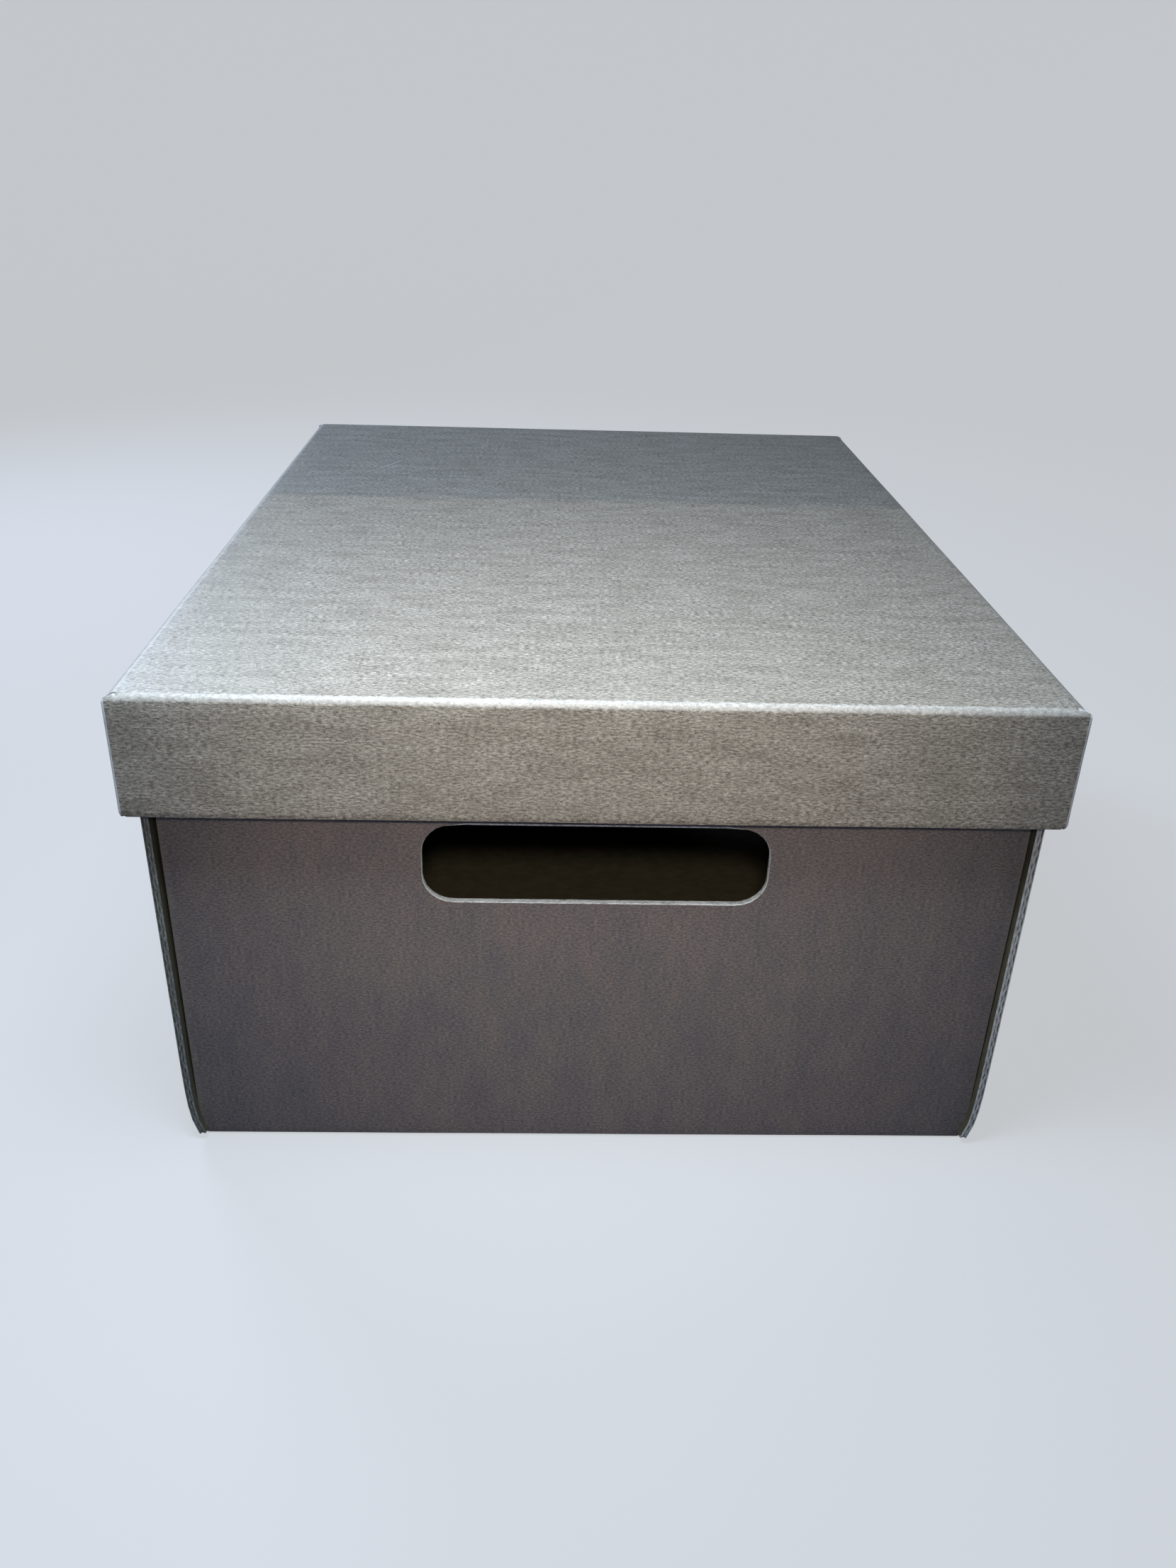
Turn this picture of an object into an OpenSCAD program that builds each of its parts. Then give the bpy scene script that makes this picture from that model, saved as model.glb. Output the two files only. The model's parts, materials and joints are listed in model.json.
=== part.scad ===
// Archive box of folded corrugated board: a body with a hand hole in each end wall,
// and a lift-off lid whose end walls are rolled over. Millimetres, +Z up.
// The origin is on the floor under the middle of the lid, and the front end faces -Y.

/* [Board] */
// Thickness of the corrugated board
board = 2.8; // [1.6:0.1:4]
// Inner radius of a tight fold
tight_fold_r = 0.8; // [0.4:0.1:2]

/* [Body] */
// Width over the side walls
body_w = 332; // [260:1:420]
// Length over the cut edges of the side walls
body_l = 422; // [320:1:560]
// Height from the floor to the rim
body_h = 202.8; // [150:0.2:320]
// Inner radius of the soft folds between the base and the side walls
soft_fold_r = 3.2; // [1:0.1:6]
// How far an end wall stands behind the cut edges of the side walls
end_inset = 3.2; // [0.5:0.1:8]
// Length of the corner flaps glued inside the side walls
corner_flap_l = 70; // [30:1:110]
// How far the corner flaps end below the rim
corner_flap_drop = 3; // [0:0.5:10]
// How much lower the free end of a corner flap is cut
corner_flap_taper = 6; // [0:0.5:15]

/* [Hand holes] */
// Width of a hand hole
hole_w = 131; // [90:1:160]
// Height of a hand hole
hole_h = 33; // [24:1:42]
// Radius of a hand hole's corners
hole_corner_r = 11.5; // [4:0.5:16]
// Distance from the lid's lower edge down to the hand hole
hole_below_lid = 8; // [2:0.5:30]
// Radius of the folded edge over a hand hole
crease_r = 1.2; // [0.4:0.1:1.5]
// Width of the cut all round a grip flap
flap_kerf = 0.4; // [0.3:0.1:1]
// Distance of a grip flap's hinge line from the wall's inner face
hinge_gap = 0.3; // [0.2:0.1:1]
// How far a grip flap is folded in when the box stands at rest, in degrees
flap_rest_angle = 172; // [95:1:176]

/* [Lid] */
// Height of the lid's walls
lid_h = 48; // [30:1:90]
// Gap on each side between the lid and the body's side walls
lid_side_gap = 0.5; // [0.3:0.1:3]
// Gap at each end between the lid and the side walls' cut edges
lid_end_gap = 0.6; // [0.3:0.1:3]
// Least gap between the lid's top and the body's rim
lid_seat_gap = 0.4; // [0.1:0.1:2]
// Clearance between the rim's corners and the round folds of the lid
rim_clearance = 0.1; // [0.05:0.05:0.3]
// How far the lid's end walls stand past its side walls
lid_end_lip = 0.7; // [0:0.1:3]
// Inner radius of the folds along the lid's side walls
lid_side_fold_r = 1.2; // [0.5:0.1:4]
// Outer radius of the sharper folds of the lid's end walls
lid_end_fold_r = 2.4; // [0.8:0.1:2.8]
// Length of the corner flaps held inside the lid's end walls
lid_flap_l = 60; // [30:1:90]
// Width of the small cut at the lower corners of the lid's end walls
lid_corner_w = 1.3; // [0:0.1:4]
// Height of the same cut
lid_corner_h = 3.5; // [0:0.1:6]
// Play left round the edges of the layers inside the lid's end walls
layer_play = 0.5; // [0.2:0.1:2]

/* [Hidden] */
$fn = 96;
kraft = [0.58, 0.52, 0.44];
kraft_lid = [0.64, 0.58, 0.49];
kraft_flap = [0.50, 0.44, 0.36];

soft_out_r = soft_fold_r + board;
tight_out_r = tight_fold_r + board;
inner_w = body_w - 2 * board;
base_half_w = body_w / 2 - soft_out_r;
wall_y = body_l / 2 - end_inset;
corner_flap_top = body_h - corner_flap_drop;

lid_side_w = body_w + 2 * (lid_side_gap + board);
lid_w = lid_side_w + 2 * lid_end_lip;
lid_end_t = 3 * board;
lid_l = body_l + 2 * (lid_end_gap + lid_end_t);
rim_reach = max(0, lid_side_fold_r - lid_side_gap);
rim_radius = lid_side_fold_r - rim_clearance;
lid_seat = max(lid_seat_gap, lid_side_fold_r - sqrt(pow(rim_radius, 2) - pow(rim_reach, 2)));
lid_top = body_h + lid_seat + board;
lid_edge = lid_top - lid_h;
lid_side_out_r = lid_side_fold_r + board;
lid_top_half_w = lid_side_w / 2 - lid_side_out_r;
lid_flap_y = lid_l / 2 - board;
lid_layer_half_w = lid_side_w / 2 - board - layer_play;
lid_flap_low = lid_edge + board + layer_play;

hole_top = lid_edge - hole_below_lid;
hole_r = min(hole_corner_r, hole_h / 2);
crease_half_w = hole_w / 2 - hole_r;
hinge_y = wall_y - board - hinge_gap;

// Quarter of a round fold, from +X to +Y, with its bend centre at the origin
module quarter_fold(outer_r) {
    intersection() {
        difference() {
            circle(outer_r);
            if (outer_r > board) circle(outer_r - board);
        }
        square(outer_r);
    }
}

// What is cut off a square corner at the origin to round it, for a shape in +X +Y
module corner_cut(r) {
    difference() {
        square(r);
        translate([r, r]) circle(r);
    }
}

// Section of a flat web with a fold up at each side, standing on the X axis
module web_section(w, outer_r) {
    translate([-w / 2 + outer_r, 0]) square([w - 2 * outer_r, board]);
    for (side = [0, 1]) mirror([side, 0])
        translate([w / 2 - outer_r, outer_r]) mirror([0, 1]) quarter_fold(outer_r);
}

// The same section with its two upright sides
module sheet_section(w, h, outer_r) {
    web_section(w, outer_r);
    for (side = [0, 1]) mirror([side, 0])
        translate([w / 2 - board, outer_r]) square([board, h - outer_r]);
}

// Outline of a hand hole in its wall, grown by a margin, with the hinge line at the top
module hole_outline(margin) {
    translate([0, -hole_h / 2]) {
        square([2 * crease_half_w, hole_h + 2 * margin], center = true);
        square([hole_w + 2 * margin, hole_h - 2 * hole_r], center = true);
        for (side = [-1, 1], end = [-1, 1])
            translate([side * crease_half_w, end * (hole_h / 2 - hole_r)]) circle(hole_r + margin);
    }
}

// Runs a section drawn in X and Z along Y, centred
module along_y(length) {
    rotate([90, 0, 0]) linear_extrude(length, center = true) children();
}

// Runs a section drawn as depth and height along X, centred; depth counts towards +Y
module along_x(length) {
    rotate([90, 0, 90]) linear_extrude(length, center = true) children();
}

// A glued corner flap with its fold at the origin, lying along +Y, cut lower at its end
module corner_flap(length, low, high, taper) {
    rotate([90, 0, 90]) linear_extrude(board)
        polygon([[0, low], [length, low + taper], [length, high - taper], [0, high]]);
}

// The front end wall with its foot fold, its corner folds and its two corner flaps
module end_wall() {
    translate([0, -wall_y, 0]) {
        // foot fold between the base and the wall
        translate([0, tight_out_r, tight_out_r]) along_x(2 * base_half_w)
            mirror([1, 0]) mirror([0, 1]) quarter_fold(tight_out_r);
        // flat wall and the two upright corner folds
        translate([-inner_w / 2 + tight_out_r, 0, tight_out_r])
            cube([inner_w - 2 * tight_out_r, board, body_h - tight_out_r]);
        for (side = [0, 1]) mirror([side, 0, 0]) {
            translate([inner_w / 2 - tight_out_r, tight_out_r, tight_out_r])
                linear_extrude(corner_flap_top - tight_out_r)
                    mirror([0, 1]) quarter_fold(tight_out_r);
            translate([inner_w / 2 - board, tight_out_r, 0])
                corner_flap(corner_flap_l - tight_out_r, tight_out_r, corner_flap_top,
                            corner_flap_taper);
        }
    }
}

// The hand hole through the front end wall, with the rounded fold along its top
module hand_hole() {
    translate([0, -wall_y + board / 2, hole_top]) {
        along_y(3 * board) hole_outline(0);
        translate([0, -board / 2, 0]) along_x(2 * crease_half_w) corner_cut(crease_r);
    }
}

// The space in front of the end wall, where the base stops short of the cut edges
module base_notch() {
    depth = end_inset + tight_out_r;
    translate([-base_half_w, -body_l / 2 - 1, -1]) cube([2 * base_half_w, depth + 1, board + 2]);
}

// The body: base and side walls in one sheet, end walls folded up between them
module box_body() {
    color(kraft) difference() {
        union() {
            difference() {
                along_y(body_l) sheet_section(body_w, body_h, soft_out_r);
                for (end = [0, 1]) mirror([0, end, 0]) base_notch();
            }
            for (end = [0, 1]) mirror([0, end, 0]) end_wall();
        }
        for (end = [0, 1]) mirror([0, end, 0]) hand_hole();
    }
}

// Section of a rolled-over end wall: outer layer, lower web and inner layer
module rolled_section() {
    difference() {
        union() {
            square([board, lid_h]);
            square([lid_end_t, board]);
            translate([lid_end_t - board, 0]) square([board, lid_h - board - layer_play]);
        }
        corner_cut(lid_end_fold_r);
        translate([lid_end_t, 0]) mirror([1, 0]) corner_cut(lid_end_fold_r);
        translate([0, lid_h]) mirror([0, 1]) corner_cut(lid_end_fold_r);
    }
}

// Face of the end wall's outer layer, wider than the top and cut at its lower corners
module lid_end_face() {
    high = lid_h - lid_end_fold_r;
    polygon([
        [-lid_w / 2 + lid_corner_w, 0], [lid_w / 2 - lid_corner_w, 0],
        [lid_w / 2, lid_corner_h], [lid_w / 2, high],
        [-lid_w / 2, high], [-lid_w / 2, lid_corner_h]
    ]);
}

// The front end wall of the lid, with the corner flaps that it holds
module lid_end_wall() {
    translate([0, -lid_l / 2, lid_edge]) {
        along_x(2 * lid_top_half_w) rolled_section();
        // inner layer and web out to the side walls
        along_x(2 * lid_layer_half_w) intersection() {
            rolled_section();
            translate([board, 0]) square([lid_end_t, lid_h - board - layer_play]);
        }
        // outer layer out to its own cut edges
        difference() {
            translate([0, board / 2, 0]) along_y(board) lid_end_face();
            along_x(lid_w + 2) corner_cut(lid_end_fold_r);
        }
    }
    for (side = [0, 1]) mirror([side, 0, 0]) {
        // upright fold between the side wall and its corner flap
        translate([lid_side_w / 2 - tight_out_r, -lid_flap_y + tight_out_r, lid_flap_low])
            linear_extrude(lid_top - lid_side_out_r - lid_flap_low)
                mirror([0, 1]) quarter_fold(tight_out_r);
        // corner flap between the two layers
        translate([lid_side_w / 2 - lid_flap_l, -lid_flap_y, lid_flap_low])
            cube([lid_flap_l - tight_out_r, board, lid_top - board - layer_play - lid_flap_low]);
    }
}

// The lid: top and side walls in one sheet, end walls rolled over the corner flaps
module lid() {
    side_wall_l = 2 * (lid_flap_y - tight_out_r);
    top_l = lid_l - 2 * lid_end_fold_r;
    color(kraft_lid) {
        translate([0, 0, lid_top]) mirror([0, 0, 1]) {
            along_y(side_wall_l) sheet_section(lid_side_w, lid_h, lid_side_out_r);
            along_y(2 * lid_flap_y) web_section(lid_side_w, lid_side_out_r);
            translate([-lid_top_half_w, -top_l / 2, 0]) cube([2 * lid_top_half_w, top_l, board]);
        }
        for (end = [0, 1]) mirror([0, end, 0]) lid_end_wall();
    }
}

// The front grip flap, cut out of the wall and folded in and up about its hinge line
module grip_flap() {
    wall_from_hinge = board + hinge_gap;
    color(kraft_flap)
        translate([0, -hinge_y, hole_top]) rotate([flap_rest_angle, 0, 0]) difference() {
            translate([0, board / 2 - wall_from_hinge, 0]) along_y(board) hole_outline(-flap_kerf);
            translate([0, -wall_from_hinge, -flap_kerf])
                along_x(hole_w) mirror([0, 1]) corner_cut(crease_r);
        }
}

box_body();
lid();
grip_flap();  // front_grip_flap
mirror([0, 1, 0]) grip_flap();  // rear_grip_flap
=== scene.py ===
"""Cardboard archive box: cuts the blanks of corrugated board, folds them and lights the box."""

import json
import math
from itertools import accumulate

import bmesh
import bpy
import numpy as np
from bpy.props import FloatProperty, IntProperty, PointerProperty, StringProperty
from mathutils import Matrix, Vector, noise
from mathutils.geometry import delaunay_2d_cdt


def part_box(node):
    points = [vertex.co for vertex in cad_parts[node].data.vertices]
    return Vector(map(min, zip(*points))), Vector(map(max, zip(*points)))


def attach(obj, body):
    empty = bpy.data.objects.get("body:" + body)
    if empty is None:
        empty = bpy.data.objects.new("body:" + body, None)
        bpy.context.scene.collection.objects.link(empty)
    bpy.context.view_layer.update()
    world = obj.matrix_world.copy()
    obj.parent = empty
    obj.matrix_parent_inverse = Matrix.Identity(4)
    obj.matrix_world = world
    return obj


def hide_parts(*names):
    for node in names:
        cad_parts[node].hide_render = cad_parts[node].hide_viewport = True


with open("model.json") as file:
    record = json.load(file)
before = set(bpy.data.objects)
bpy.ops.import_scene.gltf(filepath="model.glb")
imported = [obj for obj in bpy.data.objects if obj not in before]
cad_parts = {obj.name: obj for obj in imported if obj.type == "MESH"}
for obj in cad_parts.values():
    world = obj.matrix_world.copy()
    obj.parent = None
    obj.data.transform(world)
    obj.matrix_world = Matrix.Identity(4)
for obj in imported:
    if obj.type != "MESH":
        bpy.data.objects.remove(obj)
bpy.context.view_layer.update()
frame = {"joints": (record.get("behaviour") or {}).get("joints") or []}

bl_info = {
    "name": "Cardboard Archive Box",
    "version": (1, 0, 0),
    "blender": (4, 5, 0),
    "location": "View3D > Sidebar > Archive Box",
    "description": "Cuts, folds and lights a corrugated archive box with a lift-off lid",
    "category": "Add Mesh",
}

TO_MM = 1000.0
QUARTER = math.pi / 2
UP = (0.0, 0.0, 1.0)
SEED = 7

# Kinds of node that are used often
MATH, VECTOR, MIX = "ShaderNodeMath", "ShaderNodeVectorMath", "ShaderNodeMix"
COMBINE, SEPARATE, MAP_RANGE = "ShaderNodeCombineXYZ", "ShaderNodeSeparateXYZ", "ShaderNodeMapRange"
NAMED, STORE = "GeometryNodeInputNamedAttribute", "GeometryNodeStoreNamedAttribute"
COMPARE = "FunctionNodeCompare"
# The math node with its operations
ADD, SUBTRACT, MULTIPLY, DIVIDE = ((MATH, o) for o in ("ADD", "SUBTRACT", "MULTIPLY", "DIVIDE"))
MULTIPLY_ADD, ABSOLUTE, MAXIMUM = ((MATH, o) for o in ("MULTIPLY_ADD", "ABSOLUTE", "MAXIMUM"))
SINE, COSINE, NEAR = ((MATH, o) for o in ("SINE", "COSINE", "COMPARE"))
GREATER_THAN, LESS_THAN = ((MATH, o) for o in ("GREATER_THAN", "LESS_THAN"))

# What each face of the board is
LINER, CUT, MEDIUM, INSIDE = 0, 1, 2, 3
# What a fold takes besides its board and direction. The last sets its painted highlight and how deep its
# washboard is pressed
FOLD_INPUTS = ("Line", "Inner radius", "Sharpness", "Wear")
# Which part of a blank a point belongs to
FRONT_END, REAR_END, MAIN, LID_SIDES = 1, 2, 3, 4

# Each way the board is cut: (height through the board, depth behind the cut) in mm, from its
# outer to its inner face. "open" is across the flutes, "shut" along them, "worn" the same with a
# rubbed edge, "crushed" the blunt rim of a hand hole, and "creased" the round fold above it.
CUTS = {
    "open": ((0, 0.03), (0.45, 0), (0.45, 0.8), (1.95, 0.8), (1.95, 0), (2.8, 0.12)),
    "shut": ((0, 0.12), (0.45, 0), (0.6, 0.25), (1.9, 0.25), (2.1, 0), (2.8, 0.12)),
    "worn": ((0, 0.5), (0.22, 0.06), (0.7, 0.0), (1.9, 0.2), (2.1, 0), (2.8, 0.12)),
    "crushed": ((0, 0.35), (0.5, 0), (1.0, 0.14), (1.7, 0.05), (2.3, 0), (2.8, 0.25)),
    "creased": ((0, 1.2), (0.16, 0.6), (0.6, 0.16), (1.2, 0), (2.0, 0), (2.8, 0)),
}
# Thickness of the board that those heights are for
CUT_BOARD = 2.8
# How far a cut wanders in mm, and how quickly, for each mm along it
RAGGED, RAGGED_RATE = 0.1, 0.31
# Least distance in mm of a sheet's inner points from its rim, by the way that is cut
RIM_GAP = 0.15
RIM_GAPS = {"join": RIM_GAP, "creased": 1.7}
OTHER_RIM_GAP = 0.8
# Distance in mm between a sheet's inner points
SPACING = 7.0
# Distance in mm of the flute lines behind a cut and from its ends, and steps in each flute
FLUTE_LINE, FLUTE_END, FLUTE_STEPS = 0.25, 0.6, 12.0
# Least angle in degrees of an edge that is shaded sharp
SHARP_EDGE = 38

# How the body's walls draw in, in mm: by how much at the floor and from which height, how far the
# feet of the side and end walls curl and how high, the gap between them, and how far the left edge
# of the end walls leans in at its upper height
DRAWN_IN, DRAWN_FROM = 0.9, 153
SIDE_CURL, END_CURL, CURL_HEIGHT = 5.2, 0.4, 8
END_GAP = 0.1
LEFT_LEAN, LEFT_HEIGHT = 0.8, 151
# Where across the base that starts and over how far it grows, and half the end walls' width
BASE_STILL, BASE_RAMP, END_HALF = 135, 25, 163

# Play in mm round a grip flap and behind it, and how its inner points are spread
KERF, HINGE_GAP = 0.4, 0.3
FLAP_SPACING, FLAP_FIRST, FLAP_ROW, FLAP_ROWS = 6, 1.9, 3.0, 11

# The floor in metres: its half width, and where and how widely it curves up behind the box
FLOOR_REACH, FLOOR_CURVE, FLOOR_BEND, FLOOR_STEPS = 4.0, 1.6, 1.2, 24
# The colour that the floor throws on the box, and its own glow for the camera
FLOOR_THROWN, FLOOR_GLOW, FLOOR_GLOW_STRENGTH = "#323E58", "#EEF1F4", 0.6
# The world's colour, its strength on the box, and what the camera sees above that
WORLD_TINT, WORLD_STRENGTH, WORLD_SEEN = "#DDE8F8", 0.26, 0.38

# The photo's camera: lens in mm, place in metres, and pitch, roll and turn in degrees
CAMERA_LENS, CAMERA_SENSOR = 29.07, 36.0
CAMERA_PLACE = (-0.01819, -0.61573, 0.38005)
CAMERA_TURNS = (27.414, -2.015, 1.776)

# Lamps as (name, kind, place, aim, size, watts, colour), in metres
LAMPS = (
    ("key", "AREA", (-0.08, -0.28, 0.52), (-0.05, -0.2, 0.2), 0.2, 1.9, "#DDEEFF"),
    ("lens", "SPOT", (-0.016, -0.62, 0.418), (0.0, -0.22, 0.165), 0.03, 4.1, "#FFF1E0"),
    ("back", "AREA", (-0.7, 0.7, 0.8), (0, 0, 0.2), 0.5, 7.8, "#D0E3FF"),
)
# Angle of the spot lamp's cone in degrees
SPOT_SPREAD = 47

# Rub marks as ((u, v, length, width, angle), colour, strength), in mm in the flat blank
LID_MARKS = (
    ((-111.0, -112.6, 30.0, 0.9, -63.0), "#EEF0F0", 0.8),
    ((-108.5, -108.0, 16.0, 1.6, -60.0), "#E2E4E4", 0.45),
    ((-95.0, -100.0, 9.0, 1.2, -20.0), "#E2E4E4", 0.4),
)
BODY_MARKS = (
    ((-16.6, -321.5, 7.0, 1.6, 0.0), "#8E8A80", 0.8),
    ((146.7, -232.0, 4.5, 1.0, -25.0), "#9AA0B4", 0.7),
)
# How the outer papers differ: second colour, size of its clouds in mm, roughness, contrast of the
# fibres and their length in mm, marks, and up to which v in mm painted shade makes the lid top darker and
# cooler
LINERS = {
    "lid": {"shade": "#8F887C", "clouds": (26, 7), "gloss": 0.42, "grain": 0.8, "fibre": 2.0,
            "marks": LID_MARKS, "painted_shade_line": -42.0},
    # The body's colours are darker than the lid's, partly as painted shade
    "body": {"shade": "#797373", "clouds": (14, 40), "gloss": 0.5, "grain": 0.55, "fibre": 1.4,
             "marks": BODY_MARKS},
}
# Width in mm of the soft edge of the painted shade on the lid top
PAINTED_SHADE_BLUR = 5.0


def linear(code):
    """Linear RGBA of an sRGB hex code"""
    values = [int(code.lstrip("#")[i : i + 2], 16) / 255 for i in (0, 2, 4)]
    return [v / 12.92 if v <= 0.04045 else ((v + 0.055) / 1.055) ** 2.4 for v in values] + [1.0]


def supply(tree, node, sockets, values=()):
    """Gives a node's inputs their values or links, by name, or else in order"""
    inputs = [socket for socket in node.inputs if socket.enabled]
    pairs = [(next(i for i in inputs if i.name == name), value) for name, value in sockets.items()]
    for socket, value in [*zip(inputs, values), *pairs]:
        links = value if isinstance(value, list) else [value]
        if isinstance(links[0], bpy.types.NodeSocket):
            for link in links:
                tree.links.new(link, socket)
        else:
            socket.default_value = value


def add(tree, kind, *values, sockets=None, out=None, **settings):
    """Adds a node of a kind, or a kind and operation, and gives its first output or the named one"""
    if isinstance(kind, tuple):
        kind, settings["operation"] = kind
    node = tree.nodes.new(kind)
    for key, value in settings.items():
        setattr(node, key, value)
    supply(tree, node, sockets or {}, values)
    return next((o for o in node.outputs if o.enabled and out in (None, o.name)), None)


# Cutting the flat blanks


def fold_run(inner_r, board):
    """Length of flat board that a right-angle fold takes up"""
    return (inner_r + board / 2) * QUARTER


def ticks(stops, steps):
    """Grid positions from 0 outwards through the stops, the same on both sides of 0"""
    out = [stops[0]]
    for a, b, step in zip(stops, stops[1:], steps):
        n = max(1, round((b - a) / step))
        out += [a + (b - a) * i / n for i in range(1, n + 1)]
    return [-x for x in reversed(out) if x > 0] + out


def rim(loop, us, vs):
    """Points round a loop of (u, v, cut) corners, with one wherever a grid line crosses it"""
    points = []
    for i, (u0, v0, cut) in enumerate(loop):
        u1, v1, _ = loop[(i + 1) % len(loop)]
        points.append((u0, v0, (loop[i - 1][2], cut)))
        lines, a, b = (us, u0, u1) if abs(u1 - u0) >= abs(v1 - v0) else (vs, v0, v1)
        crossed = [x for x in lines if min(a, b) + RIM_GAP < x < max(a, b) - RIM_GAP]
        for x in sorted(crossed, reverse=b < a):
            s = (x - a) / (b - a)
            points.append((u0 + s * (u1 - u0), v0 + s * (v1 - v0), (cut, cut)))
    return points


def inside(points, loops):
    """Which points lie inside an odd number of the loops"""
    hit = np.zeros(len(points), bool)
    for loop in loops:
        for (u0, v0), (u1, v1) in zip(loop, loop[1:] + loop[:1]):
            if v0 != v1:
                crosses = (v0 > points[:, 1]) != (v1 > points[:, 1])
                hit ^= crosses & (points[:, 0] < u0 + (points[:, 1] - v0) * (u1 - u0) / (v1 - v0))
    return hit


def edge_distance(points, a, b):
    """Distance of each point from the line between a and b"""
    a, b = np.array(a), np.array(b)
    along = np.clip(((points - a) @ (b - a)) / max(1e-9, (b - a) @ (b - a)), 0, 1)
    return np.linalg.norm(points - a - along[:, None] * (b - a), axis=1)


def fill_sheet(loops, us, vs):
    """Triangles over a sheet with holes: (points as (u, v, cuts or None), index triples)"""
    rims = [rim(loop, us, vs) for loop in loops]
    outlines = [[p[:2] for p in r] for r in rims]
    grid = np.array([(u, v) for u in us for v in vs], float)
    keep = inside(grid, outlines)
    for r in rims:
        for p, q in zip(r, r[1:] + r[:1]):
            keep &= edge_distance(grid, p[:2], q[:2]) > RIM_GAPS.get(p[2][1], OTHER_RIM_GAP)
    points, edges = [], []
    for r in rims:
        start = len(points)
        points += r
        edges += [(start + i, start + (i + 1) % len(r)) for i in range(len(r))]
    points += [(u, v, None) for u, v in grid[keep]]
    found = delaunay_2d_cdt([Vector(p[:2]) for p in points], edges, [], 0, 1e-4)
    if not all(found[3]):
        raise RuntimeError("an outline crosses itself")
    source = [ids[0] for ids in found[3]]
    flat = np.array([p[:2] for p in points])
    faces = np.array([[source[i] for i in face] for face in found[2]])
    faces = faces[inside(flat[faces].mean(axis=1), outlines)]
    a, b, c = (flat[faces[:, i]] for i in range(3))
    turned = (b - a)[:, 0] * (c - a)[:, 1] - (b - a)[:, 1] * (c - a)[:, 0] < 0
    faces[turned] = faces[turned][:, ::-1]
    return points, faces


def weld(sheets):
    """Joins sheets of (part of a point, loops, us, vs) along their join edges"""
    points, parts, faces, seen = [], [], [], {}
    for part_at, loops, us, vs in sheets:
        own, own_faces = fill_sheet(loops, us, vs)
        index = []
        for u, v, cuts in own:
            key = (round(u, 2), round(v, 2)) if cuts and "join" in cuts else None
            if key is None or key not in seen:
                if key:
                    seen[key] = len(points)
                index.append(len(points))
                points.append((u, v, cuts))
                parts.append(part_at(u, v))
            else:
                index.append(seen[key])
        faces += [[index[i] for i in face] for face in own_faces]
    return points, parts, faces


def profile(cuts, board):
    """Heights and depths of the rim where two cuts meet, or along one"""
    pair = [np.array(CUTS["shut" if c == "join" else c]) for c in cuts]
    heights = (pair[0][:, 0] + pair[1][:, 0]) / 2 * (board / CUT_BOARD)
    return np.stack([heights, np.minimum(pair[0][:, 1], pair[1][:, 1])], axis=1)


def blank_mesh(name, sheets, board, flute_lines=()):
    """Closed flat mesh of a blank, with the lines its flutes are drawn along"""
    points, parts, faces = weld(sheets)
    edges = {(f[i], f[(i + 1) % 3]) for f in faces for i in range(3)}
    after = {a: b for a, b in edges if (b, a) not in edges}
    before = {b: a for a, b in after.items()}
    flat = [Vector(p[:2]) for p in points]
    verts, part, outer, inner, rings = [], [], {}, {}, {}
    for i, at in enumerate(flat):
        if i not in after:
            outer[i], inner[i] = len(verts), len(verts) + 1
            verts += [(at.x, at.y, 0), (at.x, at.y, board)]
            part += [parts[i]] * 2
            continue
        normals = []
        for a, b in ((before[i], i), (i, after[i])):
            d = (flat[b] - flat[a]).normalized()
            normals.append(Vector((-d.y, d.x)))
        mitre = (normals[0] + normals[1]) / max(0.5, 1 + normals[0].dot(normals[1]))
        ring = []
        for level, (height, depth) in enumerate(profile(points[i][2], board)):
            rough = noise.noise(Vector((at.x * RAGGED_RATE, at.y * RAGGED_RATE, 3.0 * level + SEED)))
            inset = max(0.0, depth + (RAGGED * rough if depth < 1 else 0))
            spot = at + mitre * inset
            ring.append(len(verts))
            verts.append((spot.x, spot.y, height))
            part.append(parts[i])
        rings[i], outer[i], inner[i] = ring, ring[0], ring[-1]
    polys = [[outer[i] for i in reversed(f)] for f in faces] + [[inner[i] for i in f] for f in faces]
    paper = [LINER] * len(faces) + [INSIDE] * len(faces)
    for a, b in after.items():
        open_cut = "open" in points[a][2] and "open" in points[b][2]
        for k in range(5):
            polys.append([rings[a][k], rings[b][k], rings[b][k + 1], rings[a][k + 1]])
            paper.append(MEDIUM if open_cut and 0 < k < 4 else CUT)
    inward = [(0, 0, 0)] * len(verts)
    loose = []
    for (u0, v0), (u1, v1), into, group in flute_lines:
        loose.append((len(verts), len(verts) + 1))
        verts += [(u0, v0, 0), (u1, v1, 0)]
        inward += [(0, into, 0)] * 2
        part += [group] * 2
    mesh = bpy.data.meshes.new(name)
    mesh.from_pydata([[x / TO_MM for x in v] for v in verts], loose, polys)
    flute = [0] * (len(verts) - 2 * len(loose)) + [1] * (2 * len(loose))
    for label, kind, domain, field, values in (
        ("part", "INT", "POINT", "value", part),
        ("flute", "INT", "POINT", "value", flute),
        ("inward", "FLOAT_VECTOR", "POINT", "vector", [x for v in inward for x in v]),
        ("paper", "INT", "FACE", "value", paper),
    ):
        mesh.attributes.new(label, kind, domain).data.foreach_set(field, values)
    return mesh


# Folding the blanks


def new_group(name, inputs):
    """Node group with named inputs and a Geometry output: (tree, its input sockets by name)"""
    tree = bpy.data.node_groups.new(name, "GeometryNodeTree")
    for label, kind in inputs:
        tree.interface.new_socket(label, in_out="INPUT", socket_type="NodeSocket" + kind)
    tree.interface.new_socket("Geometry", in_out="OUTPUT", socket_type="NodeSocketGeometry")
    given = tree.nodes.new("NodeGroupInput")
    return tree, {s.name: s for s in given.outputs if s.name}


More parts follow.
